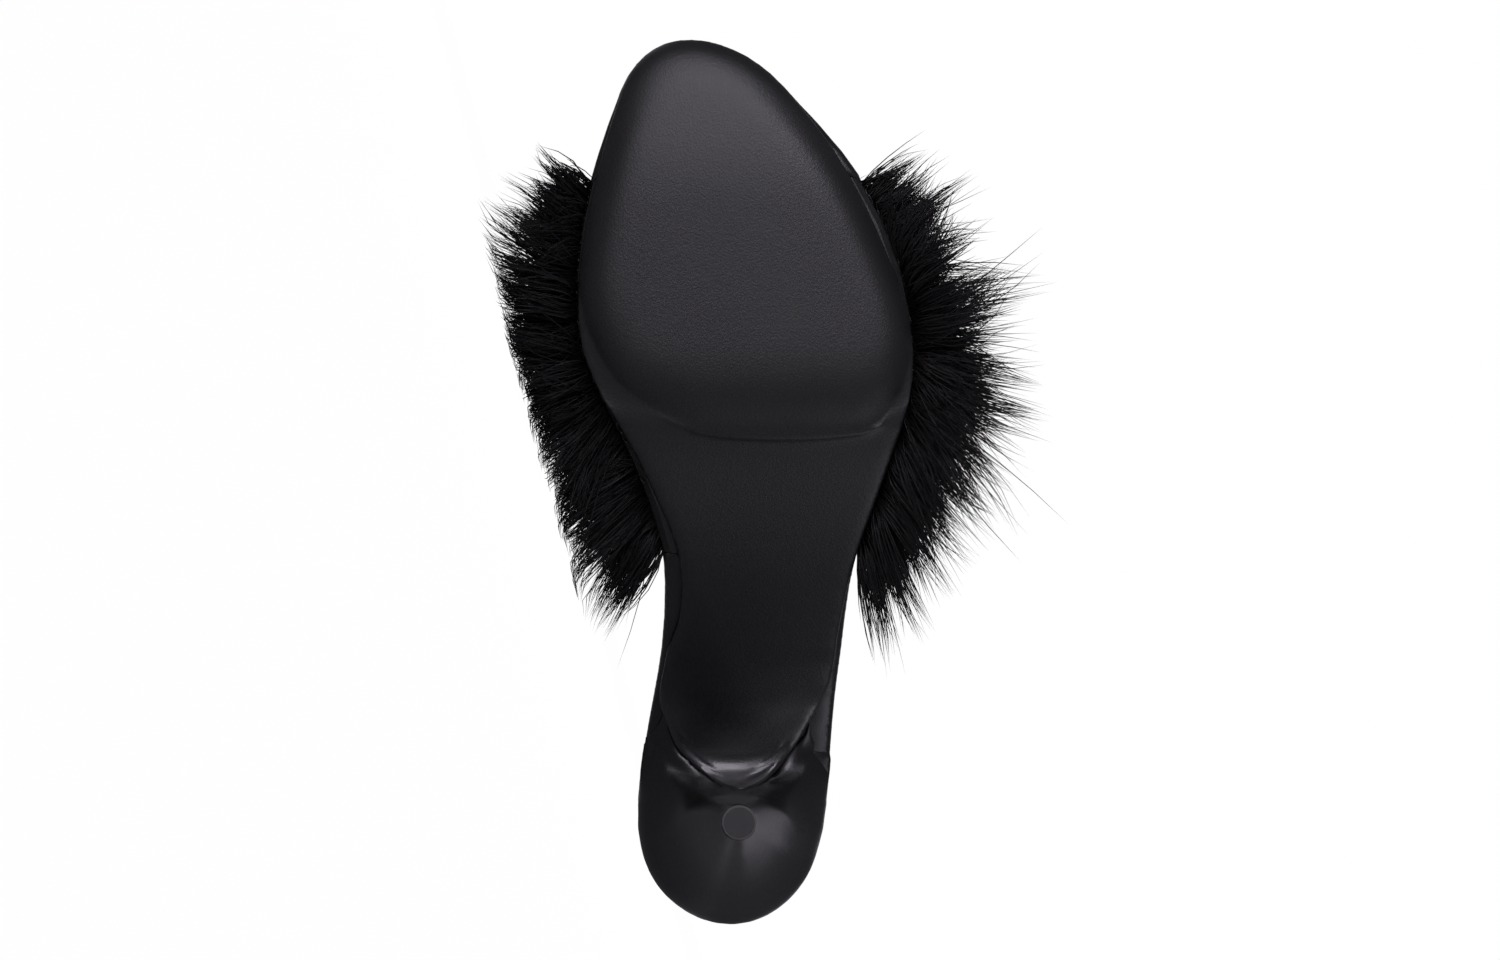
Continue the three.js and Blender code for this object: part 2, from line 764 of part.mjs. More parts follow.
// A profile in the side view, drawn through Vector2(y, z) points, as a block from side to side
function sideBlock(points) {
  const width = BALL_WIDTH;
  const geometry = new THREE.ExtrudeGeometry(new THREE.Shape(points), {
    depth: width,
    bevelEnabled: false,
  });
  const turned = new THREE.Matrix4().makeBasis(
    new THREE.Vector3(0, 1, 0),
    new THREE.Vector3(0, 0, 1),
    new THREE.Vector3(1, 0, 0),
  );
  return toManifold(geometry.translate(0, 0, -width / 2).applyMatrix4(turned));
}

// What the heel leaves to the footbed and to the open air before its breast. Beside the tongue
// its cover is flush with the sole.
function heelLimits() {
  const above = HEEL_HEIGHT + 40;
  const points = [new THREE.Vector2(-20, above)];
  const steps = 14;
  for (let i = 0; i <= steps; i++) {
    const along = lerp(-0.5, HEEL_FRONT, i / steps);
    const under = bed.place(0, bed.lengthAt(along), -GAP);
    if (i === 0) points.push(new THREE.Vector2(-20, under.z));
    points.push(new THREE.Vector2(under.y, under.z));
  }
  for (let i = 0; i < steps; i++) {
    const along = lerp(HEEL_FRONT, BREAST.along, i / steps);
    const under = bed.place(0, bed.lengthAt(along), -GAP - SOLE);
    points.push(new THREE.Vector2(under.y, under.z));
  }
  const { centre, first } = sole.bend;
  const radius = BEND_RADIUS - SOLE;
  for (let i = 0; i <= steps; i++) {
    const angle = lerp(first, Math.PI, i / steps);
    points.push(
      new THREE.Vector2(
        centre.y + radius * Math.cos(angle),
        centre.z + radius * Math.sin(angle),
      ),
    );
  }
  points.push(new THREE.Vector2(LENGTH, centre.z));
  points.push(new THREE.Vector2(LENGTH, above));
  return sideBlock(points);
}

// The tongue's place in the heel breast
function tongueSpace() {
  return plate(sole, soleOutline(), [
    { inset: -GAP, height: -SOLE - 3 },
    { inset: -GAP, height: 0 },
    { inset: -GAP, height: GAP },
  ]);
}

const heelColumns = Object.fromEntries(
  ["back", "centre", "front", "half", "square"].map((name) => [
    name,
    smooth(HEEL, "up", name),
  ]),
);
const HEEL_AXIS = new THREE.Vector2(0, HEEL_TIP.along);
const HEEL_AROUND = 40;

// How far the plan reaches from the heel's axis towards a point
function planReach(plan, point) {
  const aim = point.clone().sub(HEEL_AXIS).normalize();
  for (let i = 0; i < plan.length; i++) {
    const a = plan[i].clone().sub(HEEL_AXIS);
    const b = plan[(i + 1) % plan.length].clone().sub(HEEL_AXIS);
    const [fromA, fromB] = [aim.cross(a), aim.cross(b)];
    if (fromA * fromB > 0 || fromA === fromB) continue;
    const crossing = a.lerp(b, fromA / (fromA - fromB));
    if (crossing.dot(aim) > 0) return crossing.length();
  }
  return Infinity;
}

// A section of the heel, kept within the seat's plan
function heelSection(up, plan) {
  const row = Object.fromEntries(
    Object.entries(heelColumns).map(([name, read]) => [name, read(up)]),
  );
  const loop = [];
  for (let i = 0; i < HEEL_AROUND; i++) {
    const angle = (2 * Math.PI * i) / HEEL_AROUND;
    const [c, s] = [Math.cos(angle), Math.sin(angle)];
    const front = c > 0;
    const power = 2 / (front ? row.square : 2.2);
    const reach = front ? row.front - row.centre : row.centre - row.back;
    const point = new THREE.Vector2(
      row.half * Math.sign(s) * Math.abs(s) ** power,
      row.centre + reach * Math.sign(c) * Math.abs(c) ** power,
    );
    const out = point.clone().sub(HEEL_AXIS);
    out.clampLength(0, planReach(plan, point)).add(HEEL_AXIS);
    loop.push(new THREE.Vector3(out.x, out.y, up));
  }
  return loop;
}

function makeHeel(outline) {
  const levels = [HEEL[0].up];
  for (let i = 1; i < HEEL.length; i++) {
    levels.push((HEEL[i - 1].up + HEEL[i].up) / 2, HEEL[i].up);
  }
  const plan = inset(outline, -HEEL_FLANGE).map((p) => {
    const place = bed.place(p.x, p.y, 0);
    return new THREE.Vector2(place.x, place.y);
  });
  const block = loft(levels.map((up) => heelSection(up, plan)));
  return block.subtract(heelLimits()).subtract(tongueSpace());
}

function makeHeelTip() {
  const { radius, height, along, bevel } = HEEL_TIP;
  const profile = [
    new THREE.Vector2(0, 0),
    new THREE.Vector2(radius - bevel, 0),
    new THREE.Vector2(radius, bevel),
    new THREE.Vector2(radius, height),
    new THREE.Vector2(0, height),
  ];
  const geometry = new THREE.LatheGeometry(profile, 28);
  return toManifold(geometry.rotateX(Math.PI / 2).translate(0, along, 0));
}

// How far the shoe's heel reaches towards the floor that it lies on
function floorReach(manifolds) {
  const [c, s] = [Math.cos(rad(LYING_TILT)), Math.sin(rad(LYING_TILT))];
  let reach = -Infinity;
  for (const manifold of manifolds) {
    const { vertProperties, numProp } = manifold.getMesh();
    for (let i = 0; i < vertProperties.length; i += numProp) {
      const [x, y] = [vertProperties[i], vertProperties[i + 1]];
      if (y < LENGTH / 3) reach = Math.max(reach, x * c - y * s);
    }
  }
  return reach;
}

// All that lies below that floor, in the shoe's frame
function belowFloor(reach) {
  const size = 4 * LENGTH;
  const box = new THREE.BoxGeometry(size, size, size);
  box.translate(reach + size / 2, 0, 0).rotateZ(rad(-LYING_TILT));
  return toManifold(box);
}

const outline = bedOutline();
const vampSpace = makeVamp(GAP);
const footbed = makeFootbed(outline, vampSpace);
const heel = makeHeel(outline);
const reach = floorReach([footbed, heel]);

// Finishes: colour, roughness
const LEATHER = new THREE.MeshStandardMaterial({ color: 0x1b191b, roughness: 0.45 });
const SOLE_LEATHER = new THREE.MeshStandardMaterial({ color: 0x242225, roughness: 0.5 });
const RUBBER = new THREE.MeshStandardMaterial({ color: 0x303032, roughness: 0.7 });
const FEATHER = new THREE.MeshStandardMaterial({ color: 0x0b0a0b, roughness: 0.9 });

const shoe = new THREE.Group();
const pieces = [
  ["outsole", makeOutsole(), SOLE_LEATHER],
  ["footbed", footbed, LEATHER],
  ["insole_sock", makeSock(outline, vampSpace), LEATHER],
  ["heel", heel, LEATHER],
  ["heel_tip", makeHeelTip(), RUBBER],
  ["vamp_band", makeVamp(0), LEATHER],
  ["marabou_trim", makeMarabou(outline).subtract(belowFloor(reach)), FEATHER],
];
for (const [name, manifold, material] of pieces) {
  const flatness = material === FEATHER ? FUR_FLATNESS : FLATNESS;
  const mesh = new THREE.Mesh(toGeometry(manifold, flatness), material);
  mesh.name = name;
  shoe.add(mesh);
}

// Lay the shoe down: its inner side to the floor, its sole to -Y and its toe to -X
const lying = new THREE.Matrix4().makeBasis(
  new THREE.Vector3(0, 0, -1),
  new THREE.Vector3(-1, 0, 0),
  new THREE.Vector3(0, 1, 0),
);
const tilted = new THREE.Matrix4().makeRotationY(rad(LYING_TILT));
shoe.applyMatrix4(tilted.multiply(lying));
shoe.updateMatrixWorld(true);
const box = new THREE.Box3().setFromObject(shoe, true);
shoe.position.x -= (box.min.x + box.max.x) / 2;
shoe.position.y -= (box.min.y + box.max.y) / 2;
shoe.position.z -= box.min.z;

const slipper = new THREE.Group();
slipper.add(shoe);

export default slipper;
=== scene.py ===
# The looks of a black marabou slipper: leather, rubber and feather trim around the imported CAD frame.
# Sizes are in millimetres in the shoe's own frame (X to its inner side, Y to the toe, Z up from the
# ground it was lasted on) and turned into the frame's metres by place() and from_shoe().
import math

import bmesh
import bpy
import numpy as np
from mathutils import Matrix, Vector, kdtree


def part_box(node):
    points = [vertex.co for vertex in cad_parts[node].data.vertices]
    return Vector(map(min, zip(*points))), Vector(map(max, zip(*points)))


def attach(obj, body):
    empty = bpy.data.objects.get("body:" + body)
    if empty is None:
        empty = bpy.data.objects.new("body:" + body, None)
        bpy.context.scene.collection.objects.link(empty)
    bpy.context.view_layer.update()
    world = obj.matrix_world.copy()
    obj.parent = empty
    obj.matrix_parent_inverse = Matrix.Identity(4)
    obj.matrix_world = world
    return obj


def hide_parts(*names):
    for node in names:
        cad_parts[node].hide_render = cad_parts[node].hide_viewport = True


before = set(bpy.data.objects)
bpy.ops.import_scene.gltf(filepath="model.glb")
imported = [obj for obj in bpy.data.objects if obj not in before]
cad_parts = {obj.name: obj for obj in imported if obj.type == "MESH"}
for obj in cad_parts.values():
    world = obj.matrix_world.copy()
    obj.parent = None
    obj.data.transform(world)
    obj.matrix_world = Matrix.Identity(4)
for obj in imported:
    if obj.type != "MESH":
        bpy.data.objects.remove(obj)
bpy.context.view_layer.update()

MM = 0.001
BODY = "root"

# How the shoe lies: on its inner side, turned so far from square
TILT = math.radians(15)
TIP_ALONG = 28.4  # from the heel's back to the middle of the heel tip

# The camera: where it stands in the shoe's frame, and how many photograph pixels it is from the lens
CAMERA_AT = (37.3, 110.7, -1830)
CAMERA_AIM = (-3, 110.7, 20)
FOCAL_PIXELS = 7625
PHOTO_WIDTH = 1500
SENSOR = 36

SIDE = Vector((-math.sin(TILT), 0, -math.cos(TILT)))
TOE = Vector((-math.cos(TILT), 0, math.sin(TILT)))
UP = Vector((0, 1, 0))
AXES = np.array([SIDE, TOE, UP])
tip_low, tip_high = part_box("heel_tip")
tip_middle = (tip_low + tip_high) / 2
HEEL_BACK = Vector((tip_middle.x, tip_low.y, tip_middle.z)) - TOE * TIP_ALONG * MM


def place(x, y, z):
    """A point of the shoe's frame, in mm, as a point of the CAD frame, in metres."""
    return HEEL_BACK + (SIDE * x + TOE * y + UP * z) * MM


def to_shoe(points):
    """Points of the CAD frame, in metres, as points of the shoe's frame, in mm."""
    moved = (np.asarray(points) - np.array(HEEL_BACK)) / MM
    return np.stack([moved @ axis for axis in AXES], axis=1)


def from_shoe(points):
    """Points of the shoe's frame, in mm, as points of the CAD frame, in metres."""
    return np.array(HEEL_BACK) + points @ AXES * MM


def unit(vectors):
    return vectors / np.maximum(np.linalg.norm(vectors, axis=-1, keepdims=True), 1e-12)


def tree_of(spots):
    """A search tree over places."""
    tree = kdtree.KDTree(len(spots))
    for i, spot in enumerate(spots):
        tree.insert(spot, i)
    tree.balance()
    return tree


# Materials

GLOSS_SPREAD = 0.04  # how far a leather's roughness strays from its middle
PORE_RANGE = (0.3, 0.7)  # the noise values between which it does
PORE_SHARE = 0.5  # the pores' size, as a share of the grain's
CELL_HEIGHT = 0.8  # the grain cells' height, as a share of the pores'
DRIFT_SCALE = 45  # of the slow drift of tone
GRIT_SCALE = 2500  # of the rubber
RIM_HIGHLIGHT_SOFT = 0.2  # mm over which the painted highlight on the rubber's rim comes in
RIM_HIGHLIGHT = 2.4  # how many times as light the rim is with its painted highlight
DOWN_DARK = (0.0045, 0.0042, 0.0050, 1)
DOWN_LIGHT = (0.016, 0.0138, 0.0138, 1)


def new_material(name):
    made = bpy.data.materials.new(name)
    made.use_nodes = True
    tree = made.node_tree
    return made, tree, tree.nodes["Principled BSDF"]


def add_node(tree, kind, inputs=None, **settings):
    """A shader node, its inputs set to values or linked to sockets."""
    made = tree.nodes.new("ShaderNode" + kind)
    for name, value in settings.items():
        setattr(made, name, value)
    for name, value in (inputs or {}).items():
        if isinstance(value, bpy.types.NodeSocket):
            tree.links.new(value, made.inputs[name])
        else:
            made.inputs[name].default_value = value
    return made


def maths(tree, operation, first, second):
    return add_node(tree, "Math", {0: first, 1: second}, operation=operation).outputs[0]


def vectors(tree, operation, first, second=(0, 0, 0), output=0):
    return add_node(tree, "VectorMath", {0: first, 1: second}, operation=operation).outputs[output]


def noise(tree, at, scale, detail, roughness=0.5):
    inputs = {"Vector": at, "Scale": scale, "Detail": detail, "Roughness": roughness}
    return add_node(tree, "TexNoise", inputs).outputs["Fac"]


def mixed_tone(tree, share, dark, light):
    """A colour between two others."""
    return add_node(tree, "Mix", {0: share, 6: dark, 7: light}, data_type="RGBA").outputs[2]


def ramp(tree, value, start, end, low=0.0, high=1.0, kind="SMOOTHSTEP"):
    """A value that goes from low to high between two places."""
    inputs = {"Value": value, "From Min": start, "From Max": end, "To Min": low, "To Max": high}
    return add_node(tree, "MapRange", inputs, interpolation_type=kind).outputs[0]


def set_bump(tree, shader, height, strength, relief):
    inputs = {"Height": height, "Strength": strength, "Distance": relief * MM}
    tree.links.new(add_node(tree, "Bump", inputs).outputs["Normal"], shader.inputs["Normal"])


def grey(level, blue=1.0):
    return (level, level, level * blue, 1)


def leather(name, dark, light, rough, grain, relief, coat=0.0, coat_rough=0.3, polished=None):
    """Finished leather: grain cells of a size in mm, a slow drift of tone, and uneven gloss.

    Where polished gives two places along the shoe, the coat comes in from the first to the second.
    """
    made, tree, shader = new_material(name)
    at = add_node(tree, "TexCoord").outputs["Object"]
    cells = add_node(
        tree, "TexVoronoi", {"Vector": at, "Scale": 1 / (grain * MM), "Smoothness": 0.6},
        feature="SMOOTH_F1",
    ).outputs["Distance"]
    pores = noise(tree, at, 1 / (grain * PORE_SHARE * MM), 3)
    drift = noise(tree, at, DRIFT_SCALE, 3, 0.55)
    height = maths(tree, "ADD", maths(tree, "MULTIPLY", cells, CELL_HEIGHT), pores)
    set_bump(tree, shader, height, 1, relief)
    tree.links.new(mixed_tone(tree, drift, dark, light), shader.inputs["Base Color"])
    gloss = ramp(tree, pores, *PORE_RANGE, rough - GLOSS_SPREAD, rough + GLOSS_SPREAD, kind="LINEAR")
    tree.links.new(gloss, shader.inputs["Roughness"])
    shader.inputs["Coat Weight"].default_value = coat
    shader.inputs["Coat Roughness"].default_value = coat_rough
    if polished:
        from_heel = vectors(tree, "SUBTRACT", at, HEEL_BACK)
        along = vectors(tree, "DOT_PRODUCT", from_heel, TOE, "Value")
        start, end = (value * MM for value in polished)
        tree.links.new(ramp(tree, along, start, end, 0.0, coat), shader.inputs["Coat Weight"])
    return made


def rubber(name, level, rough, rim):
    """Rubber with a fine grit, and from a radius in mm on a painted highlight: a lighter ring where the
    top piece's bevelled edge would catch the light.
    """
    made, tree, shader = new_material(name)
    at = add_node(tree, "TexCoord").outputs["Object"]
    fine = noise(tree, at, GRIT_SCALE, 4)
    tone = mixed_tone(tree, fine, grey(level * 0.8), grey(level * 1.2))
    away = vectors(tree, "SUBTRACT", at, tip_middle)
    flat = vectors(tree, "MULTIPLY", away, (1, 0, 1))
    radius = vectors(tree, "LENGTH", flat, output="Value")
    # Painted highlight: from the rim radius on, the rubber is made lighter, as its bevelled edge would
    # look when lit.
    edge = ramp(tree, radius, rim * MM, (rim + RIM_HIGHLIGHT_SOFT) * MM)
    highlighted_tone = mixed_tone(tree, edge, tone, grey(level * RIM_HIGHLIGHT))
    tree.links.new(highlighted_tone, shader.inputs["Base Color"])
    set_bump(tree, shader, fine, 0.6, 0.05)
    shader.inputs["Roughness"].default_value = rough
    return made


def down(name):
    """Marabou down: near black, a soft sheen, browner in some tufts than in others."""
    made, tree, shader = new_material(name)
    at = add_node(tree, "TexCoord").outputs["Object"]
    drift = noise(tree, at, 120, 2)
    tree.links.new(mixed_tone(tree, drift, DOWN_DARK, DOWN_LIGHT), shader.inputs["Base Color"])
    shader.inputs["Roughness"].default_value = 0.48
    shader.inputs["Specular IOR Level"].default_value = 0.4
    return made


SOLE = leather(
    "sole_leather", grey(0.010), grey(0.016, 1.05), rough=0.42, grain=0.55, relief=0.035,
    coat=0.9, coat_rough=0.22, polished=(64, 50),
)
BINDING = leather(
    "footbed_leather", grey(0.008), grey(0.012, 1.05), rough=0.30, grain=0.45, relief=0.02, coat=0.15
)
SOCK = leather("sock_leather", grey(0.012), grey(0.018), rough=0.50, grain=0.5, relief=0.03)
HEEL = leather(
    "heel_leather", grey(0.008), grey(0.012, 1.06), rough=0.30, grain=0.45, relief=0.02, coat=0.2
)
# The tip's rim, from 3.6 mm out, gets a painted highlight.
TIP = rubber("tip_rubber", level=0.046, rough=0.55, rim=3.6)
VAMP = leather("vamp_leather", grey(0.010), grey(0.014), rough=0.40, grain=0.5, relief=0.03)
DOWN = down("marabou_down")


def add_piece(name, mesh, material):
    piece = bpy.data.objects.new(name, mesh)
    bpy.context.scene.collection.objects.link(piece)
    mesh.materials.clear()
    mesh.materials.append(material)
    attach(piece, BODY)
    return piece


# Places on the heel and sole

# The underside of the footbed (along, up) and its half widths to the inner and the outer side
BED_ROWS = np.array([
    (0, 80.5, 7.7, 6.2),
    (15, 77.8, 21.9, 19.5),
    (30, 73.9, 23.8, 23.2),
    (44.7, 69.1, 22.1, 24.2),
    (55, 63.6, 20.2, 25.0),
    (65, 55.3, 18.5, 25.8),
    (75, 45.3, 17.7, 26.8),
    (85, 34.9, 17.6, 28.0),
])
BED_ALONG, BED_UP, BED_INNER, BED_OUTER = BED_ROWS.T
TONGUE_EDGE = (34.6, 0.037, -1.3)  # its end along the shoe, how it curves, and its middle's offset


def fade(values, start, end):
    """0 before start and 1 after end, or the other way round, smoothly."""
    share = np.clip((values - start) / (end - start), 0, 1)
    return share * share * (3 - 2 * share)


def half_width(points, along):
    """The footbed's half width at places along the shoe, on the side where each point is."""
    inner = np.interp(along, BED_ALONG, BED_INNER)
    outer = np.interp(along, BED_ALONG, BED_OUTER)
    return np.where(points[:, 0] > 0, inner, outer)


def bed_depth(points):
    """How far points lie under the footbed's underside."""
    return np.interp(points[:, 1], BED_ALONG, BED_UP) - points[:, 2]


def edge_distance(points):
    """How far points lie inside the footbed's edge."""
    return half_width(points, points[:, 1]) - np.abs(points[:, 0])


def beside_tongue(points):
    """How far points lie beside the tongue's edge."""
    end, curve, middle = TONGUE_EDGE
    return np.abs(points[:, 0] - middle) - np.sqrt(np.maximum(points[:, 1] - end, 0) / curve)


MEASURES = {
    "to the inner side": lambda points: points[:, 0],
    "to either side": lambda points: np.abs(points[:, 0]),
    "along": lambda points: points[:, 1],
    "up": lambda points: points[:, 2],
    "deep": bed_depth,
    "from the edge": edge_distance,
    "beside the tongue": beside_tongue,
}

# Where each form comes in: by which measure, where there is none of it, and where it is full
FORMS = {
    "bow": [
        ("along", 26, 40),
        ("along", 80, 62),
        ("deep", 24, 8),
    ],
    "ease": [
        ("to the inner side", 3, 10.5),
        ("from the edge", 0, 4.4),
        ("along", 34, 41),
        ("along", 80, 54),
        ("deep", 18, 10),
    ],
    "flank": [
        ("beside the tongue", 0.2, 1.6),
        ("from the edge", 0, 2.5),
        ("to either side", 9, 13),
        ("along", 22, 30),
        ("along", 53, 49),
        ("deep", 24, 15),
    ],
    "rise": [("along", 26, 36)],
    "slide": [("along", 38, 50), ("deep", 8, 2)],
    "tip gap": [("up", 8, 5.6)],
    "padded": [("up", 4.2, 2.0), ("along", 100, 112)],
    "tread back": [("along", 148, 119)],
    "toe": [("along", 196, 216)],
}


def presence(form, points):
    """How much of a form there is at points, from 0 to 1."""
    share = np.ones(len(points))
    for measure, none, full in FORMS[form]:
        share = share * fade(MEASURES[measure](points), none, full)
    return share


def slide(points, along):
    """Points moved to places along the shoe, as deep under the footbed and at the same share of it."""
    across = points[:, 0] * half_width(points, along) / half_width(points, points[:, 1])
    up = np.interp(along, BED_ALONG, BED_UP) - bed_depth(points)
    return np.stack([across, along, up], axis=1)


# Shapes of the heel and sole

BREAST_BOW = 0.016  # how far the breast curves to the toe, in mm for each squared mm to the side
BOW_LIMIT = 5
TONGUE_EASE = 2.4  # how much wider the tongue is on its inner side, near the breast
SEAT_GAP = 0.3  # from the footbed down to the heel
FLANK_RISE = 3.2  # how much the heel's cover beside the tongue rises over FLANK_WIDTH to the side
FLANK_WIDTH = 8
FLANK_LIMIT = 1.1  # and at most so many times as much
FLANK_TOP = 2  # over which depth the rise comes in
FLANK_DEPTH = 14  # and down to which depth it is there
FLANK_SLIDE = 5  # how far its front corners run on beside the sole
TREAD_FALL = 2.5  # of the padded tread, to its back edge
TREAD_POWER = 2.2
RIM_FALL = 1.3  # and to its outline
RIM_WIDTH = 7
OUTLINE_MIDDLE = np.array([0, 150])
OUTLINE_STEPS = 360
TIP_GAP = 0.35  # that the heel's cover closes down to the tip
TOE_STRETCH = 1.1  # what smoothing takes off the toe, at its tip and over a width beside it
TOE_TIP = 11.7
TOE_WIDTH = 9

# Creases of the tongue: how far before its edge, from where to where across it, how deep and how wide
CREASES = [
    (1.5, -10.5, -2.0, 0.16, 0.55),
    (2.9, -13.0, -6.5, 0.14, 0.60),
    (1.3, 1.0, 9.0, 0.16, 0.55),
    (2.6, 4.5, 12.5, 0.18, 0.60),
    (4.2, 9.5, 15.0, 0.12, 0.65),
]
CREASE_CURVE = (34.9, 0.046, -0.3)  # as TONGUE_EDGE, once the breast is curved
CREASE_END = 1.5  # half the length over which a crease runs out


def bow_breast(points):
    """Curves the breast like a horseshoe: its sides slide along the footbed towards the toe."""
    eased = points.copy()
    eased[:, 0] += TONGUE_EASE * presence("ease", points)
    shift = np.minimum(BREAST_BOW * eased[:, 0] ** 2, BOW_LIMIT) * presence("bow", points)
    return slide(eased, points[:, 1] + shift)


def flank(points):
    """Where the heel's cover beside the tongue is drawn tight, as a weight for each point."""
    return presence("flank", points)


def shape_heel(points):
    """The heel with a curved breast, its cover thin and flush where it runs out beside the sole."""
    depth = np.maximum(bed_depth(points) - SEAT_GAP, 0)
    points[:, 2] -= TIP_GAP * presence("tip gap", points)
    rise = FLANK_RISE * np.tanh(depth / FLANK_TOP) * np.exp(-((depth / FLANK_DEPTH) ** 4))
    aside = np.clip(beside_tongue(points) / FLANK_WIDTH, 0, FLANK_LIMIT)
    points[:, 2] += rise * aside * presence("rise", points)
    return bow_breast(slide(points, points[:, 1] + FLANK_SLIDE * presence("slide", points)))


def shape_sole(points):
    """The sole with a curved breast, its padded tread soft at the back and round the rim."""
    points = bow_breast(points)
    rim = np.clip(1 - outline_distance(points) / RIM_WIDTH, 0, 1)
    fall = TREAD_FALL * presence("tread back", points) ** TREAD_POWER + RIM_FALL * rim ** 2
    points[:, 2] += presence("padded", points) * fall
    return stretch_toe(points)


def outline_distance(points):
    """How far points of the sole lie inside its outline, seen from below."""
    away = points[:, :2] - OUTLINE_MIDDLE
    turn = np.arctan2(away[:, 1], away[:, 0])
    steps = np.floor((turn + math.pi) / (2 * math.pi) * OUTLINE_STEPS).astype(int) % OUTLINE_STEPS
    reach = np.zeros(OUTLINE_STEPS)
    np.maximum.at(reach, steps, np.hypot(away[:, 0], away[:, 1]))
    angles = (np.arange(OUTLINE_STEPS) + 0.5) / OUTLINE_STEPS * 2 * math.pi - math.pi
    x = np.cos(angles) * reach + OUTLINE_MIDDLE[0]
    y = np.sin(angles) * reach + OUTLINE_MIDDLE[1]
    outline = tree_of(list(zip(x, y, np.zeros(OUTLINE_STEPS))))
    return np.array([outline.find((x, y, 0))[2] for x, y in points[:, :2]])


def stretch_toe(points):
    """The toe drawn out to the length that smoothing took off it."""
    beside = np.exp(-(((points[:, 0] - TOE_TIP) / TOE_WIDTH) ** 2))
    points[:, 1] += TOE_STRETCH * presence("toe", points) * beside
    return points


def creases(points):
    """How deep the creases of the tongue are at points."""
    x, y, _ = points.T
    end, curve, middle = CREASE_CURVE
    ahead = y - end - curve * (x - middle) ** 2
    across = np.sqrt(1 + (2 * curve * (x - middle)) ** 2)
    depth = np.zeros(len(points))
    for offset, start, stop, deep, wide in CREASES:
        there = fade(x, start - CREASE_END, start + CREASE_END)
        there = there * fade(x, stop + CREASE_END, stop - CREASE_END)
        depth += deep * there * np.exp(-(((ahead - offset) / across / wide) ** 2))
    return depth


# Leather pieces: the CAD solids made fine and smooth, their own edges kept

SHARP = math.radians(34)  # a fold of the CAD faces from here on is a real edge
EDGE_STEP = 0.5  # mm between the places kept on such an edge
EDGE_REACH = 2.2  # mm from an edge over which the smoothing fades in
EDGE_HOLD = 0.04  # the share of that reach that counts at the edge itself
SMOOTH_STEP = 0.6  # how far each pass moves a point to its neighbours' mean
SWELL_STEP = -0.61  # and every other pass back, so that nothing shrinks
NORMAL_PASSES = 40
TIGHT_PASSES = 400
SLOPE_STEP = 0.05  # mm over which the slope of a dent is measured


def mesh_arrays(mesh):
    """A mesh's points and the two points of each edge."""
    points = np.empty(len(mesh.vertices) * 3)
    mesh.vertices.foreach_get("co", points)
    edges = np.empty(len(mesh.edges) * 2, dtype=np.int32)
    mesh.edges.foreach_get("vertices", edges)
    return points.reshape(-1, 3), edges.reshape(-1, 2)


def sharp_points(mesh):
    """Places along the edges where the CAD faces really fold."""
    work = bmesh.new()
    work.from_mesh(mesh)
    bmesh.ops.remove_doubles(work, verts=work.verts, dist=1e-6)
    found = []
    for edge in work.edges:
        if len(edge.link_faces) == 2 and edge.calc_face_angle() > SHARP:
            a, b = (v.co for v in edge.verts)
            steps = max(int((b - a).length / (EDGE_STEP * MM)), 1)
            found += [a.lerp(b, i / steps) for i in range(steps + 1)]
    work.free()
    return found


def edge_weight(points, corners):
    """How much each point may be smoothed: little beside a real edge, fully away from it."""
    if not corners:
        return np.ones(len(points))
    tree = tree_of(corners)
    reach = np.array([tree.find(point)[2] for point in points]) / (EDGE_REACH * MM)
    return np.clip(reach, EDGE_HOLD, 1) ** 2


def neighbour_mean(points, edges, count):
    total = np.zeros_like(points)
    for axis in range(3):
        total[:, axis] = np.bincount(edges[:, 0], points[edges[:, 1], axis], len(points))
        total[:, axis] += np.bincount(edges[:, 1], points[edges[:, 0], axis], len(points))
    return total / count[:, None]


def voxel_copy(piece, name, voxel):
    """A piece's shape as one even mesh."""
    remesh = piece.modifiers.new("remesh", "REMESH")
    remesh.mode = "VOXEL"
    remesh.voxel_size = voxel * MM
    depsgraph = bpy.context.evaluated_depsgraph_get()
    made = bpy.data.meshes.new_from_object(piece.evaluated_get(depsgraph))
    piece.modifiers.clear()
    made.name = name
    return made


def smooth_shading(mesh, edges, count, weight, dents=None):
    """Normals of the smooth shape that the CAD facets stand for, evened out, then dented."""
    normals = np.empty(len(mesh.vertices) * 3)
    mesh.vertices.foreach_get("normal", normals)
    normals = normals.reshape(-1, 3)
    for _ in range(NORMAL_PASSES):
        normals += (neighbour_mean(normals, edges, count) - normals) * weight[:, None] * SMOOTH_STEP
    normals = unit(normals)
    if dents:
        points = to_shoe(mesh_arrays(mesh)[0])
        depth = dents(points)
        for axis, step in zip(AXES, np.eye(3) * SLOPE_STEP):
            slope = (dents(points + step) - depth) / SLOPE_STEP
            normals += slope[:, None] * axis
        moved = from_shoe(points) - unit(normals) * depth[:, None] * MM
        mesh.vertices.foreach_set("co", moved.reshape(-1))
        mesh.update()
    mesh.normals_split_custom_set_from_vertices(unit(normals))


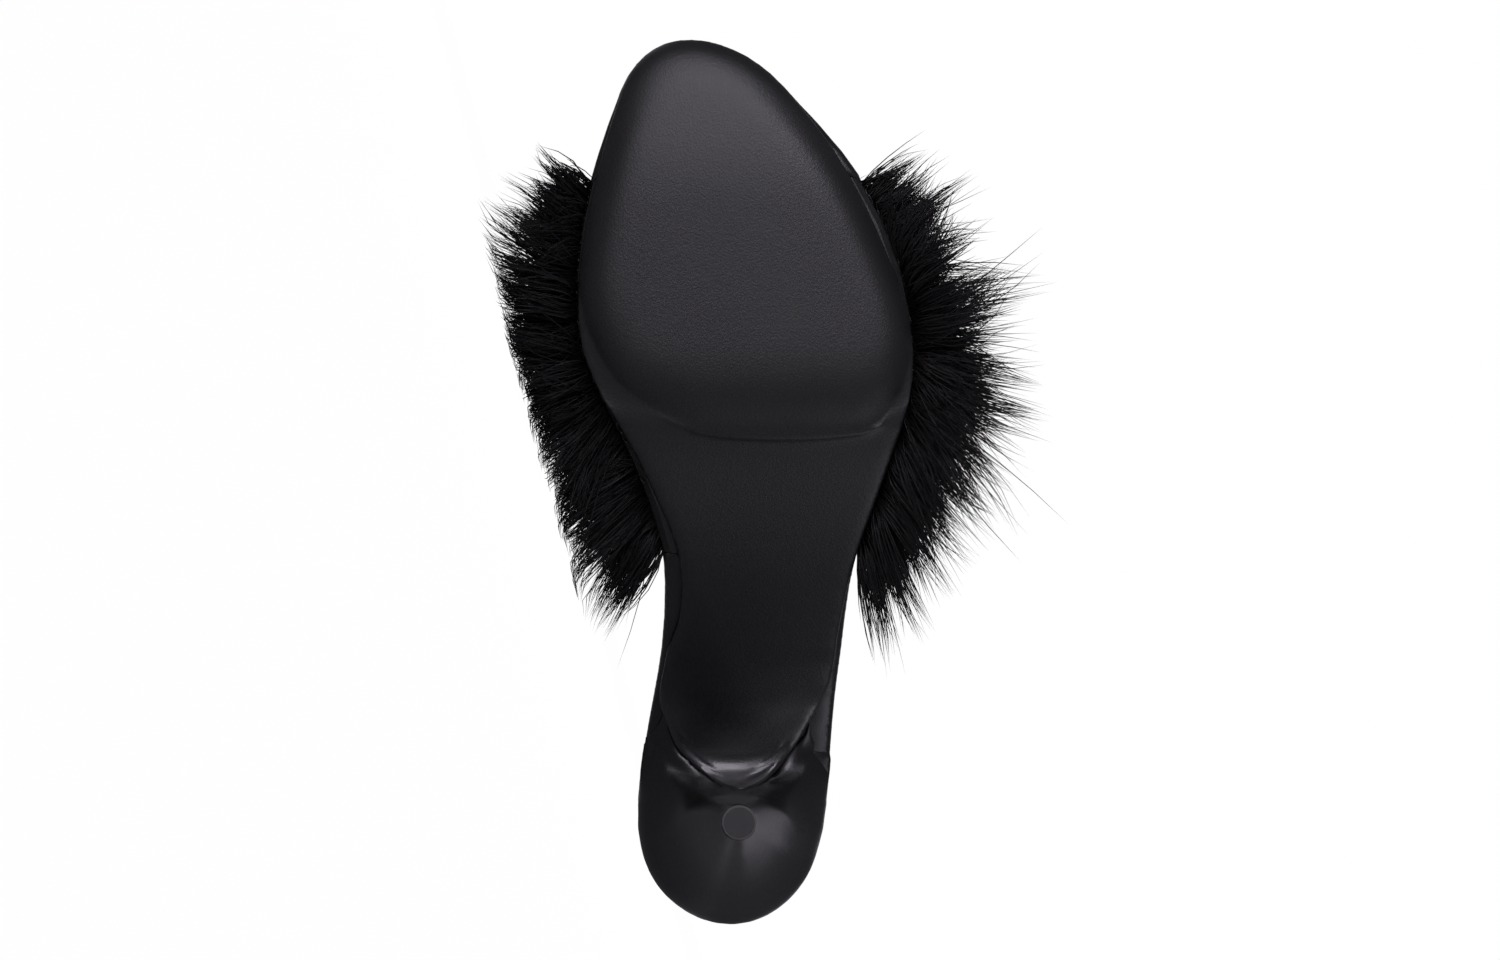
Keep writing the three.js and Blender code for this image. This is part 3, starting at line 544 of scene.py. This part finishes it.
def soften(node, name, material, voxel, passes, reshape, tight=None, dents=None):
    """A fine, smooth, reshaped copy of a CAD node that takes its place in the picture."""
    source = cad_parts[node]
    piece = add_piece(name, source.data.copy(), material)
    piece.data = voxel_copy(piece, name, voxel)
    mesh = piece.data
    points, edges = mesh_arrays(mesh)
    count = np.maximum(np.bincount(edges.reshape(-1), minlength=len(points)), 1)
    weight = edge_weight(points, sharp_points(source.data))
    for _ in range(passes):
        for share in (SMOOTH_STEP, SWELL_STEP):
            points += (neighbour_mean(points, edges, count) - points) * weight[:, None] * share
    if tight:
        pull = tight(to_shoe(points))[:, None] * SMOOTH_STEP
        for _ in range(TIGHT_PASSES):
            points += (neighbour_mean(points, edges, count) - points) * pull
    points = from_shoe(reshape(to_shoe(points)))
    mesh.vertices.foreach_set("co", points.reshape(-1))
    mesh.polygons.foreach_set("use_smooth", np.ones(len(mesh.polygons), dtype=bool))
    mesh.update()
    smooth_shading(mesh, edges, count, weight, dents)
    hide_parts(node)


soften("outsole", "sole_cover", SOLE, 0.65, 60, shape_sole, dents=creases)
soften("heel", "heel_cover", HEEL, 0.6, 80, shape_heel, tight=flank)
soften("footbed", "footbed_cover", BINDING, 0.8, 40, stretch_toe)

MATERIAL_OF = {
    "insole_sock": SOCK,
    "heel_tip": TIP,
    "vamp_band": VAMP,
}
for node, material in MATERIAL_OF.items():
    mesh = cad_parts[node].data
    mesh.materials.clear()
    mesh.materials.append(material)


# Marabou: hairs gathered in wisps, and wisps in tufts that lean alike

SEED = 7
TUFTS = 140
WISPS = 2000
HAIRS = 30000
HAIR_POINTS = 5
FUR_PIECES = 4

TUFT_SPREAD = 0.26  # how far a tuft's lean strays
TUFT_LENGTHS = (0.82, 1.14)  # as shares, from the shortest to the longest
WISP_SPREAD = 0.18
WISP_SHORTEST = 0.72
WISP_EXTRA = 0.5  # how much longer than that a wisp is at most
WISP_RARITY = 1.6  # the more, the fewer are so long
WISP_CURL = 1.8  # mm
OUTER_FRONT = 0.6  # from which place along the vamp the outer side is its outer front
BARBS = 0.22  # the share of wisps at the outer front that are long
BARB_LENGTH = 1.6  # times as long as the others
LONG_WISPS = 0.06  # the share of all other wisps that are long
LONG_LENGTH = 1.25
HAIR_LENGTH = 25  # mm
HAIR_SPREAD = 0.25
HAIR_LENGTHS = (0.55, 1.08)
HAIR_CURL = 0.8
HAIR_WIDTHS = (0.30, 0.34, 0.30, 0.20, 0.0)  # mm, from root to tip
HAIR_THICKNESS = (0.75, 1.2)  # times as wide, from the finest to the thickest
STRAYS = 0.05  # the share of hairs that leave their wisp
STRAY_LENGTH = 1.15
STRAY_GATHER = 0.2  # how far a stray's tip still goes to its wisp's
GATHER_LOSS = 0.6  # how far any other hair's tip stays from it at most
GATHER_RARITY = 1.8

SOLE_SIDE = -7  # how far before the tread, in mm, the down may stand
SOLE_SOFT = 8  # and over which height it is turned back there
FLOOR_GAP = 0.4
FLOOR_SPREAD = 2.5  # how much higher the tips of some wisps end over the floor
FLOOR_SOFT = 4

# Where the vamp's sections meet the footbed (along, up) and how they lean to the toe, in degrees
SECTIONS = [
    (92.9, 26.9, 29),
    (117.9, 8.9, 17),
    (141.9, 5.3, 4),
    (165, 5.3, -11),
    (183.6, 5.4, -25),
]

# How high the middle of the vamp's arch is along the shoe, and which of its faces bear down: those
# that face to the toe, the heel or the ground by less than this
ARCH_ALONG = (92.9, 117.9, 141.9, 183.6)
ARCH_UP = (42, 26, 20, 16)
FACE_ALONG = 0.75
FACE_GROUND = 0.6
SMALLEST_FACE = 1e-4

# How the down stands: a row for each place from the vamp's rear edge (0) to its front edge (1), with
# how far it leans to the toe on the inner and the outer side, and its length there as a share
DOWN_ROWS = np.array([
    (0.00, -0.75, -2.30, 1.00, 1.00),
    (0.20, -0.50, -1.15, 1.05, 1.05),
    (0.45, -0.08, -0.25, 1.08, 1.05),
    (0.70, 0.25, 0.15, 1.00, 0.88),
    (0.85, 0.50, 0.35, 0.85, 0.62),
    (1.00, 0.75, 0.60, 0.45, 0.35),
])
SIDE_BLEND = 60  # mm across, from the outer side's values to the inner side's


def vamp_skin():
    """Triangles of the vamp's outer face, clear of the margin under the footbed: corners, normals."""
    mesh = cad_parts["vamp_band"].data
    mesh.calc_loop_triangles()
    points = to_shoe(mesh_arrays(mesh)[0])
    corners = np.empty(len(mesh.loop_triangles) * 3, dtype=np.int32)
    mesh.loop_triangles.foreach_get("vertices", corners)
    corners = points[corners.reshape(-1, 3)]
    normals = np.cross(corners[:, 1] - corners[:, 0], corners[:, 2] - corners[:, 0])
    area = np.linalg.norm(normals, axis=1) / 2
    normals = unit(normals)
    middle = corners.mean(axis=1)
    height = middle[:, 2] - np.interp(middle[:, 1], ARCH_ALONG, ARCH_UP)
    outward = normals[:, 0] * middle[:, 0] + normals[:, 2] * height
    kept = (outward > 0) & (np.abs(normals[:, 1]) < FACE_ALONG)
    kept &= (normals[:, 2] > -FACE_GROUND) & (area > SMALLEST_FACE)
    return corners[kept], normals[kept], area[kept]


def along_vamp(points):
    """How far each point is from the vamp's rear edge to its front edge, from 0 to 1."""
    offsets = []
    for along, up, lean in SECTIONS:
        angle = math.radians(lean)
        offsets.append((points[:, 1] - along) * math.cos(angle) - (points[:, 2] - up) * math.sin(angle))
    share = np.zeros(len(points))
    for i, (here, there) in enumerate(zip(offsets, offsets[1:])):
        between = (here >= 0) & (there < 0)
        share[between] = (i + here[between] / (here[between] - there[between])) / (len(SECTIONS) - 1)
    share[offsets[-1] >= 0] = 1
    return share


def scatter(rng, corners, normals, area, count):
    """Points spread evenly over triangles, with the normals there."""
    picked = rng.choice(len(area), size=count, p=area / area.sum())
    a, b = rng.random(count), rng.random(count)
    flip = a + b > 1
    a[flip], b[flip] = 1 - a[flip], 1 - b[flip]
    tri = corners[picked]
    points = tri[:, 0] + a[:, None] * (tri[:, 1] - tri[:, 0]) + b[:, None] * (tri[:, 2] - tri[:, 0])
    return points, normals[picked]


def nearest(points, centres):
    """Which of the centres is nearest to each point."""
    tree = tree_of(centres)
    return np.array([tree.find(point)[1] for point in points])


def stance(points):
    """How far the down at points leans to the toe, and its length as a share."""
    share = along_vamp(points)
    columns = (np.interp(share, DOWN_ROWS[:, 0], column) for column in DOWN_ROWS.T[1:])
    inner, outer, inner_length, outer_length = columns
    to_inner = np.clip(points[:, 0] / SIDE_BLEND + 0.5, 0, 1)
    lean = outer + (inner - outer) * to_inner
    return lean, outer_length + (inner_length - outer_length) * to_inner


def keep_above(height, low, soft):
    """Heights that end softly at a lower limit."""
    over = height - low
    bent = soft * np.exp(np.minimum(over / soft - 1, 0))
    return np.where(over < soft, low + bent, height)


def wisp_lengths(rng, at, tuft_length):
    """How long each wisp is, in mm, most of them short."""
    length = WISP_SHORTEST + WISP_EXTRA * rng.random(WISPS) ** WISP_RARITY
    length = HAIR_LENGTH * tuft_length * length * stance(at)[1]
    front = (at[:, 0] < 0) & (along_vamp(at) > OUTER_FRONT)
    longer = rng.random(WISPS) < np.where(front, BARBS, LONG_WISPS)
    length[longer] *= np.where(front, BARB_LENGTH, LONG_LENGTH)[longer]
    return length


def grow_hairs():
    """The middle lines of all hairs, in mm in the shoe's frame: hairs x points x 3."""
    rng = np.random.default_rng(SEED)
    skin = vamp_skin()
    roots, normals = scatter(rng, *skin, HAIRS)
    tuft_at, _ = scatter(rng, *skin, TUFTS)
    wisp_at, wisp_normals = scatter(rng, *skin, WISPS)
    tuft_lean = rng.normal(0, TUFT_SPREAD, (TUFTS, 3))
    tuft_length = rng.uniform(*TUFT_LENGTHS, TUFTS)

    def aim(points, facing, tufts, stray_by):
        to_toe = stance(points)[0][:, None] * np.array([0, 1, 0])
        return unit(facing + to_toe + tuft_lean[tufts] + stray_by)

    wisp_tuft = nearest(wisp_at, tuft_at)
    wisp_aim = aim(wisp_at, wisp_normals, wisp_tuft, rng.normal(0, WISP_SPREAD, (WISPS, 3)))
    wisp_length = wisp_lengths(rng, wisp_at, tuft_length[wisp_tuft])
    wisp_curl = rng.normal(0, WISP_CURL, (WISPS, 3))

    wisp = nearest(roots, wisp_at)
    stray = rng.random(HAIRS) < STRAYS
    own_aim = aim(roots, normals, wisp_tuft[wisp], rng.normal(0, HAIR_SPREAD, (HAIRS, 3)))
    length = wisp_length[wisp] * rng.uniform(*HAIR_LENGTHS, HAIRS) * np.where(stray, STRAY_LENGTH, 1)
    reach = own_aim * length[:, None]
    gather = 1 - GATHER_LOSS * rng.random(HAIRS) ** GATHER_RARITY
    gather = np.where(stray, STRAY_GATHER, gather)[:, None]
    wisp_tip = wisp_at[wisp] + wisp_aim[wisp] * length[:, None]
    tip = (roots + reach) * (1 - gather) + wisp_tip * gather
    belly = roots + reach * 0.5 + wisp_curl[wisp] + rng.normal(0, HAIR_CURL, (HAIRS, 3))
    t = np.linspace(0, 1, HAIR_POINTS)[None, :, None]
    lines = (1 - t) ** 2 * roots[:, None] + 2 * t * (1 - t) * belly[:, None] + t * t * tip[:, None]
    lines[..., 2] = keep_above(lines[..., 2], SOLE_SIDE, SOLE_SOFT)
    off_floor = np.array([-math.cos(TILT), math.sin(TILT), 0])
    height = lines @ off_floor + HEEL_BACK.z / MM
    low = FLOOR_GAP + FLOOR_SPREAD * rng.random(WISPS)[wisp][:, None] * t[..., 0]
    lines += (keep_above(height, low, FLOOR_SOFT) - height)[..., None] * off_floor
    return lines, wisp


def spindle_faces(steps):
    """Triangles of one hair: a root, three-sided walls between rings of points, and a tip."""
    faces = [(0, 2, 1)]
    for s in range(steps - 2):
        for k in range(3):
            a, b = s * 3 + k, s * 3 + (k + 1) % 3
            faces += [(a, b, b + 3), (a, b + 3, a + 3)]
    last = (steps - 2) * 3
    for k in range(3):
        faces.append((last + k, last + (k + 1) % 3, last + 3))
    return np.array(faces)


def hair_mesh(name, lines, rng):
    """Closed three-sided spindles along the lines (metres), as one mesh."""
    count, steps = lines.shape[:2]
    tangent = unit(np.gradient(lines, axis=1))
    away = unit(rng.normal(0, 1, (count, 3)))[:, None]
    u = unit(np.cross(tangent, away))
    v = np.cross(tangent, u)
    scale = rng.uniform(*HAIR_THICKNESS, count)[:, None, None] * MM / 2
    width = np.array(HAIR_WIDTHS)[None, :, None] * scale
    rings = []
    for k in range(3):
        turn = 2 * math.pi * k / 3
        rings.append(lines + (u * math.cos(turn) + v * math.sin(turn)) * width)
    ringed = np.stack(rings, axis=2)[:, :-1].reshape(count, -1, 3)
    verts = np.concatenate([ringed, lines[:, -1:]], axis=1)
    per_hair = verts.shape[1]
    first = (np.arange(count) * per_hair)[:, None, None]
    index = (spindle_faces(steps)[None] + first).reshape(-1)
    total = len(index) // 3
    mesh = bpy.data.meshes.new(name)
    mesh.vertices.add(count * per_hair)
    mesh.vertices.foreach_set("co", verts.reshape(-1))
    mesh.loops.add(len(index))
    mesh.loops.foreach_set("vertex_index", index.astype(np.int32))
    mesh.polygons.add(total)
    mesh.polygons.foreach_set("loop_start", np.arange(total, dtype=np.int32) * 3)
    mesh.update(calc_edges=True)
    mesh.validate()
    mesh.polygons.foreach_set("use_smooth", np.ones(len(mesh.polygons), dtype=bool))
    return mesh


def make_marabou():
    lines, wisp = grow_hairs()
    lines = from_shoe(lines.reshape(-1, 3)).reshape(lines.shape)
    rng = np.random.default_rng(SEED + 1)
    part = wisp * FUR_PIECES // WISPS
    for i in range(FUR_PIECES):
        name = f"marabou_down_{i + 1}"
        piece = add_piece(name, hair_mesh(name, lines[part == i], rng), DOWN)
        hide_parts("marabou_trim")


make_marabou()


# The room: a white floor and backdrop, a large soft light before the toe, weaker ones round it

DIM = 0.10  # how bright the room is in reflections
BACKDROP = 0.5  # and straight behind the shoe
TINT = (1.0, 0.95, 1.07, 1)
FLOOR_HALF = 6.0  # metres
FLOOR_GLOW = 1.15  # how bright the floor is to the camera, and how much of what it sees is that glow
FLOOR_GLOW_SHARE = 0.85
BEHIND = (0.02, 0.06)  # from where to where the reflected floor brightens behind the shoe
BEYOND_HEEL = (0.08, 0.14)  # and dims again past its heel
SKY_BEHIND = (0.78, 0.97)  # over which directions the reflected room brightens

# Soft lights: place, aim, width and height in metres, and watts
LIGHTS = {
    "toe_softbox": ((-0.33, -0.62, 0.20), (0, 0, 0.06), 0.36, 0.26, 1.6),
    "floor_panel": ((-0.26, -0.50, 0.006), (-0.26, -0.50, 1), 0.40, 0.40, 1.4),
    "top_strip": ((0.05, 0.25, 0.75), (0, 0, 0.06), 1.0, 0.25, 3.0),
    "rim_strip": ((0.10, 0.60, 0.42), (0, 0, 0.06), 0.5, 0.06, 0.06),
    "heel_softbox": ((0.75, -0.35, 0.14), (0.03, 0, 0.06), 0.7, 0.26, 0.7),
}
NOT_MIRRORED = "top_strip"


def make_camera():
    data = bpy.data.cameras.new("camera")
    data.sensor_width = SENSOR
    data.lens = FOCAL_PIXELS * SENSOR / PHOTO_WIDTH
    data.clip_start = 0.05
    data.clip_end = 50
    camera = bpy.data.objects.new("camera", data)
    bpy.context.scene.collection.objects.link(camera)
    at, aim = place(*CAMERA_AT), place(*CAMERA_AIM)
    back = (at - aim).normalized()
    right = TOE.cross(back).normalized()
    top = back.cross(right)
    turned = Matrix((right, top, back)).transposed()
    camera.matrix_world = Matrix.Translation(at) @ turned.to_4x4()
    bpy.context.scene.camera = camera


def mixed_shader(tree, share, first, second):
    made = add_node(tree, "MixShader", {0: share})
    tree.links.new(first.outputs[0], made.inputs[1])
    tree.links.new(second.outputs[0], made.inputs[2])
    return made


def floor_material():
    """White, glowing to the camera, and dim where the shoe mirrors it."""
    made, tree, shader = new_material("floor_white")
    shader.inputs["Base Color"].default_value = grey(0.8)
    shader.inputs["Roughness"].default_value = 0.9
    shader.inputs["Specular IOR Level"].default_value = 0.1
    path = add_node(tree, "LightPath")
    glow = add_node(tree, "Emission", {"Color": grey(1.0), "Strength": FLOOR_GLOW})
    seen = maths(tree, "MULTIPLY", path.outputs["Is Camera Ray"], FLOOR_GLOW_SHARE)
    lit = mixed_shader(tree, seen, shader, glow)
    at = add_node(tree, "SeparateXYZ", {"Vector": add_node(tree, "TexCoord").outputs["Object"]})
    behind = ramp(tree, at.outputs["Y"], *BEHIND, DIM, BACKDROP)
    beyond_heel = ramp(tree, at.outputs["X"], *BEYOND_HEEL)
    level = add_node(tree, "Mix", {0: beyond_heel, 2: behind, 3: DIM}).outputs[0]
    mirrored = add_node(tree, "Emission", {"Color": TINT, "Strength": level})
    both = mixed_shader(tree, path.outputs["Is Glossy Ray"], lit, mirrored)
    tree.links.new(both.outputs[0], tree.nodes["Material Output"].inputs["Surface"])
    return made


def make_floor():
    mesh = bpy.data.meshes.new("floor")
    corners = [(x * FLOOR_HALF, y * FLOOR_HALF, 0) for x, y in ((-1, -1), (1, -1), (1, 1), (-1, 1))]
    mesh.from_pydata(corners, [], [(0, 1, 2, 3)])
    mesh.materials.append(floor_material())
    floor = bpy.data.objects.new("floor", mesh)
    bpy.context.scene.collection.objects.link(floor)


def make_world():
    """White to the camera, and dim where the shoe mirrors it or is lit by it."""
    world = bpy.data.worlds.new("studio")
    bpy.context.scene.world = world
    world.use_nodes = True
    tree = world.node_tree
    tree.nodes.clear()
    seen = add_node(tree, "LightPath").outputs["Is Camera Ray"]
    way = add_node(tree, "SeparateXYZ", {"Vector": add_node(tree, "TexCoord").outputs["Generated"]})
    level = ramp(tree, way.outputs["Y"], *SKY_BEHIND, DIM, BACKDROP)
    dim = add_node(tree, "Background", {"Color": TINT, "Strength": level})
    white = add_node(tree, "Background", {"Color": grey(1.0), "Strength": 1.0})
    both = mixed_shader(tree, seen, dim, white)
    out = add_node(tree, "OutputWorld")
    tree.links.new(both.outputs[0], out.inputs["Surface"])


def make_lights():
    for name, (at, aim, wide, high, watts) in LIGHTS.items():
        data = bpy.data.lights.new(name, "AREA")
        data.shape = "RECTANGLE"
        data.size, data.size_y = wide, high
        data.energy = watts
        data.color = TINT[:3]
        light = bpy.data.objects.new(name, data)
        light.location = at
        light.rotation_euler = (Vector(aim) - Vector(at)).to_track_quat("-Z", "Y").to_euler()
        light.visible_camera = False
        light.visible_glossy = name != NOT_MIRRORED
        bpy.context.scene.collection.objects.link(light)


make_camera()
make_floor()
make_world()
make_lights()
bpy.context.scene.view_settings.view_transform = "Standard"
bpy.context.scene.view_settings.look = "None"
